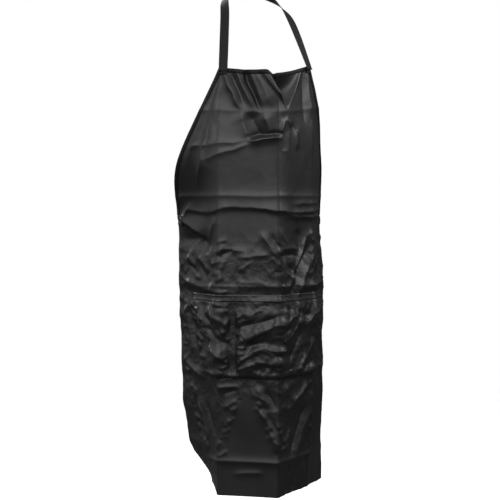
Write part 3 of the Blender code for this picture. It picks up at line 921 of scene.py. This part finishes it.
(left, top), (right, bottom) = LABEL_CORNERS
across, drops = np.meshgrid(spread(left, right, 0.002), spread(top, bottom, 0.002))
label = sheet_of(
    "care_tab",
    lifted(across, drops, -0.0007),
    np.stack((across, drops), axis=-1),
    0.0003,
    label_material(),
)
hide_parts("care_label")
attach(label, "apron")

# ---------------------------------------------------------------------------------------------------
# Waist ties: two lengths of the tape, each sewn inside a side edge just under the armhole and led
# round the wearer's back, where they are gathered into one bow.
# ---------------------------------------------------------------------------------------------------
TIE_DROP = 0.36
TIE_OVERLAP = 0.024
TIE_HEIGHT = -0.0013
WAIST_PATH = (
    (0.1360, 0.0340),
    (0.1040, 0.0530),
    (0.0600, 0.0620),
)
KNOT_CENTRE = Vector((0.0, 0.0765, -0.563))
KNOT_SIZE = (0.024, 0.024, 0.026)
KNOTTED_WIDTH = 0.012
KNOT_GATHER = 0.035


def gathered(away, ease=KNOT_GATHER):
    """Width of a tape this far from the knot, which gathers it."""
    return TAPE_WIDTH + (KNOTTED_WIDTH - TAPE_WIDTH) * smooth(1.0 - away / ease)


for hand, side in (("right", -1.0), ("left", 1.0)):
    sewn = [
        Vector(lifted(side * (HALF_WIDTH - inset), TIE_DROP, TIE_HEIGHT))
        for inset in (TIE_OVERLAP, 0.016, 0.008, 0.0)
    ]
    corner = sewn[-1]
    onward = Vector((side * WAIST_PATH[0][0], WAIST_PATH[0][1], corner.z)) - corner
    points = sewn + [corner + onward.normalized() * 0.005]
    points += [Vector((side * x, y, corner.z - 0.002)) for x, y in WAIST_PATH]
    points.append(Vector((side * KNOT_SIZE[0] * 0.35, KNOT_CENTRE.y - 0.010, KNOT_CENTRE.z)))
    path = through(points, 9)
    widths = [gathered(abs(middle.x) - KNOT_SIZE[0] / 2) for middle in path]
    tie = tape_of(f"waist_tape_{hand}", path, [Vector((0.0, 0.0, 1.0))] * len(path), widths, STRAP_TAPE)
    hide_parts(f"tie_end_{hand}", f"waist_tie_{hand}")
    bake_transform(tie)

# ---------------------------------------------------------------------------------------------------
# Bow: both ties cross in a knot, with a loop to each side and two free tails, all of the same tape.
# ---------------------------------------------------------------------------------------------------
BOW_REACH = 0.088
BOW_HEIGHT = 0.030
BOW_DROOP = 22
BOW_LEAN = 50
BOW_POINTS = 72
TAIL_LENGTH = 0.31
TAIL_SPREAD = 0.030
TAIL_START = 0.008


def knot_piece():
    """The knot: a rounded bundle with a band of tape drawn tight over it, pleated by the pull."""
    around = 56
    columns = 15
    places = []
    pattern = []
    for turn_index in range(around):
        turn = 2 * math.pi * turn_index / around
        row = []
        marks = []
        for column in range(columns):
            share = 2 * column / (columns - 1) - 1.0
            waist = 1.0 - 0.30 * share ** 4 - 0.10 * share ** 2
            pleat = 1.0 + 0.035 * math.cos(5 * math.pi * share + 1.5 * math.sin(turn))
            rounded = (abs(math.cos(turn)) ** 3 + abs(math.sin(turn)) ** 3) ** (-1 / 3)
            radius = 0.47 * waist * pleat * rounded
            row.append(
                (
                    KNOT_CENTRE.x + KNOT_SIZE[0] * 0.48 * share,
                    KNOT_CENTRE.y + KNOT_SIZE[1] * radius * math.cos(turn),
                    KNOT_CENTRE.z + KNOT_SIZE[2] * radius * math.sin(turn),
                )
            )
            marks.append((share * TAPE_WIDTH / 2, turn * KNOT_SIZE[1] / 2))
        places.append(row)
        pattern.append(marks)
    return sheet_of("knot_tape", np.array(places), np.array(pattern), STRAP_TAPE, TAPE_MATERIAL, closed=True)


knot = knot_piece()
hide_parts("bow_knot")
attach(knot, "waist_tie")

for hand, side in (("right", -1.0), ("left", 1.0)):
    droop = math.radians(BOW_DROOP)
    lean = math.radians(BOW_LEAN)
    out = Vector((side * math.cos(droop), 0.0, -math.sin(droop)))
    width_way = Vector((0.0, math.cos(lean), math.sin(lean)))
    up = width_way.cross(out).normalized() * side
    width_way = out.cross(up).normalized()
    root = KNOT_CENTRE + Vector((side * (KNOT_SIZE[0] / 2 - 0.001), 0.008, 0.0))
    path = []
    widths = []
    for index in range(BOW_POINTS):
        turn = 2 * math.pi * (index + 0.5) / BOW_POINTS
        reach = 0.5 * (1.0 - math.cos(turn))
        height = BOW_HEIGHT / 2 * math.sin(turn) * (0.3 + 0.7 * reach)
        path.append(root + out * BOW_REACH * reach + up * height)
        widths.append(gathered(reach, 0.4))
    loop = tape_of(f"loop_tape_{hand}", path, [width_way] * len(path), widths, STRAP_TAPE, closed=True)
    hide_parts(f"bow_loop_{hand}")
    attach(loop, f"bow_loop_{hand}")
    top = KNOT_CENTRE + Vector((side * TAIL_START, 0.004, -KNOT_SIZE[2] * 0.40))
    points = [
        top,
        top + Vector((side * TAIL_SPREAD * 0.35, 0.001, -TAIL_LENGTH * 0.22)),
        top + Vector((side * TAIL_SPREAD * 0.75, 0.000, -TAIL_LENGTH * 0.60)),
        top + Vector((side * TAIL_SPREAD, 0.001, -TAIL_LENGTH)),
    ]
    path = through(points, 16)
    widths = [gathered(top.z - middle.z) for middle in path]
    tail = tape_of(f"tail_tape_{hand}", path, [Vector((1.0, 0.0, 0.0))] * len(path), widths, STRAP_TAPE)
    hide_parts(f"tie_tail_{hand}")
    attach(tail, f"tie_tail_{hand}")

# ---------------------------------------------------------------------------------------------------
# Stitching: black thread in a straight lockstitch along every hem, binding and pocket seam, and in a
# crossed box where the strap and the ties are sewn on.
# ---------------------------------------------------------------------------------------------------
STITCH_PITCH = 0.0034
STITCH_LENGTH = 0.0027
THREAD = 0.0006
HEM_STITCH_INSET = HEM_WIDTH - 0.002
BINDING_STITCH_INSET = 0.0072
POCKET_STITCH_INSET = 0.0025
BOX_INSET = 0.0025


def thread_material():
    """Black polyester thread, a little glossier than the cloth."""
    made, nodes, link, shader = new_finish("black_thread", roughness=0.42)
    place = nodes.new("ShaderNodeTexCoord")
    twist = noise(nodes, link, place.outputs["Object"], 900.0)
    coloured_by(nodes, link, shader, twist.outputs["Fac"], (0.012, 0.012, 0.013), (0.034, 0.034, 0.036))
    return made


def stitching_tree(material):
    """Geometry nodes: one stitch at each step along every line, turned to follow it."""
    tree = bpy.data.node_groups.new("stitching", "GeometryNodeTree")
    face = tree.interface
    face.new_socket("Geometry", in_out="INPUT", socket_type="NodeSocketGeometry")
    for name, value in (
        ("Stitch Pitch", STITCH_PITCH),
        ("Stitch Length", STITCH_LENGTH),
        ("Thread Thickness", THREAD),
    ):
        face.new_socket(name, in_out="INPUT", socket_type="NodeSocketFloat").default_value = value
    face.new_socket("Geometry", in_out="OUTPUT", socket_type="NodeSocketGeometry")
    nodes = tree.nodes
    link = tree.links.new
    enter = nodes.new("NodeGroupInput")
    leave = nodes.new("NodeGroupOutput")
    line = nodes.new("GeometryNodeMeshToCurve")
    link(enter.outputs["Geometry"], line.inputs["Mesh"])
    spaced = nodes.new("GeometryNodeResampleCurve")
    spaced.mode = "LENGTH"
    link(line.outputs["Curve"], spaced.inputs["Curve"])
    link(enter.outputs["Stitch Pitch"], spaced.inputs["Length"])
    stitch = nodes.new("GeometryNodeMeshUVSphere")
    stitch.inputs["Segments"].default_value = 6
    stitch.inputs["Rings"].default_value = 4
    stitch.inputs["Radius"].default_value = 0.5
    size = nodes.new("ShaderNodeCombineXYZ")
    link(enter.outputs["Thread Thickness"], size.inputs["X"])
    link(enter.outputs["Thread Thickness"], size.inputs["Y"])
    link(enter.outputs["Stitch Length"], size.inputs["Z"])
    tangent = nodes.new("GeometryNodeInputTangent")
    turned = nodes.new("FunctionNodeAlignRotationToVector")
    turned.axis = "Z"
    link(tangent.outputs["Tangent"], turned.inputs["Vector"])
    placed = nodes.new("GeometryNodeInstanceOnPoints")
    link(spaced.outputs["Curve"], placed.inputs["Points"])
    link(stitch.outputs["Mesh"], placed.inputs["Instance"])
    link(turned.outputs["Rotation"], placed.inputs["Rotation"])
    link(size.outputs["Vector"], placed.inputs["Scale"])
    real = nodes.new("GeometryNodeRealizeInstances")
    link(placed.outputs["Instances"], real.inputs["Geometry"])
    coloured = nodes.new("GeometryNodeSetMaterial")
    coloured.inputs["Material"].default_value = material
    link(real.outputs["Geometry"], coloured.inputs["Geometry"])
    link(coloured.outputs["Geometry"], leave.inputs["Geometry"])
    return tree


STITCHING = stitching_tree(thread_material())


def stitched(name, lines):
    """Stitches along each line of places, as one plain mesh."""
    mesh = bpy.data.meshes.new(f"{name}_lines")
    places = []
    edges = []
    for line in lines:
        first = len(places)
        places += [tuple(place) for place in line]
        edges += [(first + index, first + index + 1) for index in range(len(line) - 1)]
    mesh.from_pydata(places, edges, [])
    guide = bpy.data.objects.new(f"{name}_lines", mesh)
    bpy.context.scene.collection.objects.link(guide)
    sewing = guide.modifiers.new("stitching", "NODES")
    sewing.node_group = STITCHING
    sockets = {item.name: item.identifier for item in STITCHING.interface.items_tree if item.in_out == "INPUT"}
    sewing[sockets["Stitch Pitch"]] = STITCH_PITCH
    sewing[sockets["Stitch Length"]] = STITCH_LENGTH
    sewing[sockets["Thread Thickness"]] = THREAD
    view = bpy.context.evaluated_depsgraph_get()
    sewn = bpy.data.meshes.new_from_object(guide.evaluated_get(view))
    sewn.name = name
    sewn.shade_smooth()
    bpy.data.objects.remove(guide)
    piece = bpy.data.objects.new(name, sewn)
    bpy.context.scene.collection.objects.link(piece)
    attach(piece, "apron")
    return piece


def line_on_cloth(points, height):
    """A line of places over the cloth through (across, drop) points joined by straight runs. height is
    a number, or a function of across and drop."""
    line = []
    for (start_across, start_drop), (end_across, end_drop) in zip(points, points[1:]):
        length = math.hypot(end_across - start_across, end_drop - start_drop)
        steps = np.linspace(0.0, 1.0, max(2, round(length / STITCH_PITCH)))
        run_across = start_across + (end_across - start_across) * steps
        run_drop = start_drop + (end_drop - start_drop) * steps
        over = height(run_across, run_drop) if callable(height) else height
        line += list(lifted(run_across, run_drop, over))[0 if not line else 1 :]
    return line


OVER_NYLON = NYLON / 2 + THREAD * 0.2
OVER_BINDING = 0.0010 + TAPE / 2 + THREAD * 0.1
hem_faces = (OVER_NYLON, -OVER_NYLON - NYLON)
seam_drop = APRON_LENGTH - HEM_STITCH_INSET
seam_reach = HALF_WIDTH - 0.004
hem_lines = []
for side in (-1.0, 1.0):
    aside = side * (HALF_WIDTH - HEM_STITCH_INSET)
    ends = ((aside, ARMHOLE_DEPTH + 0.012), (aside, APRON_LENGTH - 0.002))
    hem_lines += [line_on_cloth(ends, height) for height in hem_faces]
ends = ((-seam_reach, seam_drop), (seam_reach, seam_drop))
hem_lines += [line_on_cloth(ends, height) for height in hem_faces]
hem_stitches = stitched("hem_stitches", hem_lines)

tapes = []
for height in (OVER_BINDING, -OVER_BINDING):
    top_reach = BIB_HALF_WIDTH - 0.002
    top_ends = ((-top_reach, BINDING_STITCH_INSET), (top_reach, BINDING_STITCH_INSET))
    tapes.append(line_on_cloth(top_ends, height))
    for side in (-1.0, 1.0):
        armhole = []
        for drop in spread(0.012, ARMHOLE_DEPTH, 0.006):
            run = armhole_run(drop)
            inward = BINDING_STITCH_INSET
            armhole.append((side * (half_width(drop) - run.y * inward), drop + run.x * inward))
        tapes.append(line_on_cloth(armhole, height))
binding_stitches = stitched("binding_stitches", tapes)


def over_pocket(across, drop):
    """Height of a stitch that lies on the pocket's cloth."""
    return pocket_height(across, drop) + OVER_NYLON


inset = POCKET_STITCH_INSET
pocket_bottom = POCKET_TOP + POCKET_HEIGHT - inset
outline_drops = spread(POCKET_TOP + 0.001, pocket_bottom, 0.008)
right_side = [(-(float(pocket_edge(drop)) - inset), drop) for drop in outline_drops]
left_side = [(float(pocket_edge(drop)) - inset, drop) for drop in outline_drops[::-1]]
divider = []
for aside in (POCKET_SEAM - inset, POCKET_SEAM + inset):
    divider.append(line_on_cloth(((aside, POCKET_TOP + 0.001), (aside, pocket_bottom)), over_pocket))
hem_drop = POCKET_TOP + POCKET_HEM - 0.002
hem_reach = float(pocket_edge(hem_drop)) - 0.004
top_line = line_on_cloth(((-hem_reach, hem_drop), (hem_reach, hem_drop)), over_pocket)
outline = line_on_cloth(right_side + left_side, over_pocket)
pocket_stitches = stitched("pocket_stitches", [outline, top_line] + divider)


def crossed_box(outer, inner, high, low, height):
    """A box of stitches with both its diagonals."""
    route = ((outer, high), (outer, low), (inner, low), (inner, high), (outer, high), (inner, low))
    return [line_on_cloth(route, height), line_on_cloth(((inner, high), (outer, low)), height)]


over_strap = STRAP_HEIGHT + STRAP_TAPE / 2 + TAPE_CUPPING
half_box = TAPE_WIDTH / 2 - BOX_INSET
boxes = []
for side in (-1.0, 1.0):
    outer = side * (BIB_HALF_WIDTH - BOX_INSET)
    inner = side * (BIB_HALF_WIDTH - TAPE_WIDTH + BOX_INSET)
    boxes += crossed_box(outer, inner, 0.0035, STRAP_OVERLAP - BOX_INSET, over_strap)
for side in (-1.0, 1.0):
    outer = side * (HALF_WIDTH - 0.0030)
    inner = side * (HALF_WIDTH - TIE_OVERLAP + BOX_INSET)
    boxes += crossed_box(outer, inner, TIE_DROP - half_box, TIE_DROP + half_box, OVER_NYLON)
box_stitches = stitched("box_stitches", boxes)

# ---------------------------------------------------------------------------------------------------
# Studio: a pale floor well below the hem, three soft boxes, surroundings that reflect brighter from
# above and from the wearer's right, and a nearly level camera to the wearer's right of the front.
# ---------------------------------------------------------------------------------------------------
FLOOR_LEVEL = -1.46
FLOOR_SIZE = 12.0
FLOOR_SEEN = (0.86, 0.86, 0.86, 1.0)
FLOOR_AWAY = (0.06, 0.06, 0.06, 1.0)
FLOOR_GLOW = 0.55
FLOOR_FADES_FROM = 0.8
FLOOR_FADES_TO = 4.5
SKY_SEEN = 1.0
SKY_LIGHT = 1.0
SKY_BRIGHT_SIDE = (-0.87, -0.50, 0.0)
SKY_DIM_SIDE_SHARE = 0.10
SKY_STARTS = -0.20
SKY_FULL = 0.22
CAMERA_PLACE = (-1.074, -2.703, -0.54)
CAMERA_TURN = 22.0
CAMERA_PITCH = 1.84
CAMERA_LENS = 85.1


def floor_material():
    """Pale matt studio floor."""
    made, nodes, link, shader = new_finish("studio_floor", roughness=0.9, specular=0.1)
    shader.inputs["Emission Color"].default_value = (1.0, 1.0, 1.0, 1.0)
    ray = nodes.new("ShaderNodeLightPath")
    tone = nodes.new("ShaderNodeMix")
    tone.data_type = "RGBA"
    tone.inputs["A"].default_value = FLOOR_AWAY
    tone.inputs["B"].default_value = FLOOR_SEEN
    link(ray.outputs["Is Camera Ray"], tone.inputs["Factor"])
    link(tone.outputs["Result"], shader.inputs["Base Color"])
    glow = nodes.new("ShaderNodeMath")
    glow.operation = "MULTIPLY"
    glow.inputs[1].default_value = FLOOR_GLOW
    link(ray.outputs["Is Camera Ray"], glow.inputs[0])
    link(glow.outputs[0], shader.inputs["Emission Strength"])
    place = nodes.new("ShaderNodeTexCoord")
    distance = nodes.new("ShaderNodeVectorMath")
    distance.operation = "LENGTH"
    link(place.outputs["Object"], distance.inputs[0])
    fading = nodes.new("ShaderNodeMapRange")
    fading.interpolation_type = "SMOOTHSTEP"
    fading.inputs["From Min"].default_value = FLOOR_FADES_FROM
    fading.inputs["From Max"].default_value = FLOOR_FADES_TO
    fading.inputs["To Min"].default_value = 1.0
    fading.inputs["To Max"].default_value = 0.0
    link(distance.outputs["Value"], fading.inputs["Value"])
    link(fading.outputs["Result"], shader.inputs["Alpha"])
    return made


def soft_light(name, place, target, width, height, watts):
    """A soft box that points at a place."""
    lamp = bpy.data.lights.new(name, "AREA")
    lamp.shape = "RECTANGLE"
    lamp.size = width
    lamp.size_y = height
    lamp.energy = watts
    lamp.spread = math.radians(100)
    held = bpy.data.objects.new(name, lamp)
    held.location = place
    held.rotation_euler = (Vector(target) - Vector(place)).to_track_quat("-Z", "Y").to_euler()
    bpy.context.scene.collection.objects.link(held)


bpy.ops.mesh.primitive_plane_add(size=FLOOR_SIZE, location=(0.0, 0.0, FLOOR_LEVEL))
floor = bpy.context.object
floor.name = "studio_floor"
floor.data.materials.append(floor_material())

soft_light("key", (-0.95, -1.15, 0.35), (0.0, -0.1, -0.25), 1.2, 1.2, 3)
soft_light("fill", (1.25, -0.85, 0.45), (0.0, -0.1, -0.25), 1.0, 1.0, 4.5)
soft_light("back", (-0.5, 2.2, 0.7), (0.0, 0.0, -0.6), 1.6, 1.8, 24)

world = bpy.data.worlds.new("studio")
bpy.context.scene.world = world
world.use_nodes = True
nodes = world.node_tree.nodes
link = world.node_tree.links.new
sky = nodes["Background"]
sky.inputs["Color"].default_value = (1.0, 1.0, 1.0, 1.0)
outlook = nodes.new("ShaderNodeTexCoord")
parts = nodes.new("ShaderNodeSeparateXYZ")
link(outlook.outputs["Generated"], parts.inputs["Vector"])
overhead = nodes.new("ShaderNodeMapRange")
overhead.interpolation_type = "SMOOTHSTEP"
overhead.inputs["From Min"].default_value = SKY_STARTS
overhead.inputs["From Max"].default_value = SKY_FULL
overhead.inputs["To Min"].default_value = 0.02
overhead.inputs["To Max"].default_value = SKY_LIGHT
link(parts.outputs["Z"], overhead.inputs["Value"])
towards = nodes.new("ShaderNodeVectorMath")
towards.operation = "DOT_PRODUCT"
towards.inputs[1].default_value = SKY_BRIGHT_SIDE
link(outlook.outputs["Generated"], towards.inputs[0])
sideways = nodes.new("ShaderNodeMapRange")
sideways.inputs["From Min"].default_value = -1.0
sideways.inputs["To Min"].default_value = SKY_DIM_SIDE_SHARE
link(towards.outputs["Value"], sideways.inputs["Value"])
graded = nodes.new("ShaderNodeMath")
graded.operation = "MULTIPLY"
link(overhead.outputs["Result"], graded.inputs[0])
link(sideways.outputs["Result"], graded.inputs[1])
ray = nodes.new("ShaderNodeLightPath")
seen = nodes.new("ShaderNodeMix")
seen.inputs["B"].default_value = SKY_SEEN
link(ray.outputs["Is Camera Ray"], seen.inputs["Factor"])
link(graded.outputs[0], seen.inputs["A"])
link(seen.outputs["Result"], sky.inputs["Strength"])
bpy.context.scene.view_settings.view_transform = "Standard"

camera = bpy.data.objects.new("camera", bpy.data.cameras.new("camera"))
turn = math.radians(CAMERA_TURN)
pitch = math.radians(CAMERA_PITCH)
aim = Vector((math.sin(turn) * math.cos(pitch), math.cos(turn) * math.cos(pitch), -math.sin(pitch)))
camera.location = CAMERA_PLACE
camera.rotation_mode = "QUATERNION"
camera.rotation_quaternion = aim.to_track_quat("-Z", "Y")
camera.data.lens = CAMERA_LENS
camera.data.sensor_width = 36.0
camera.data.clip_end = 100.0
bpy.context.scene.collection.objects.link(camera)
bpy.context.scene.camera = camera
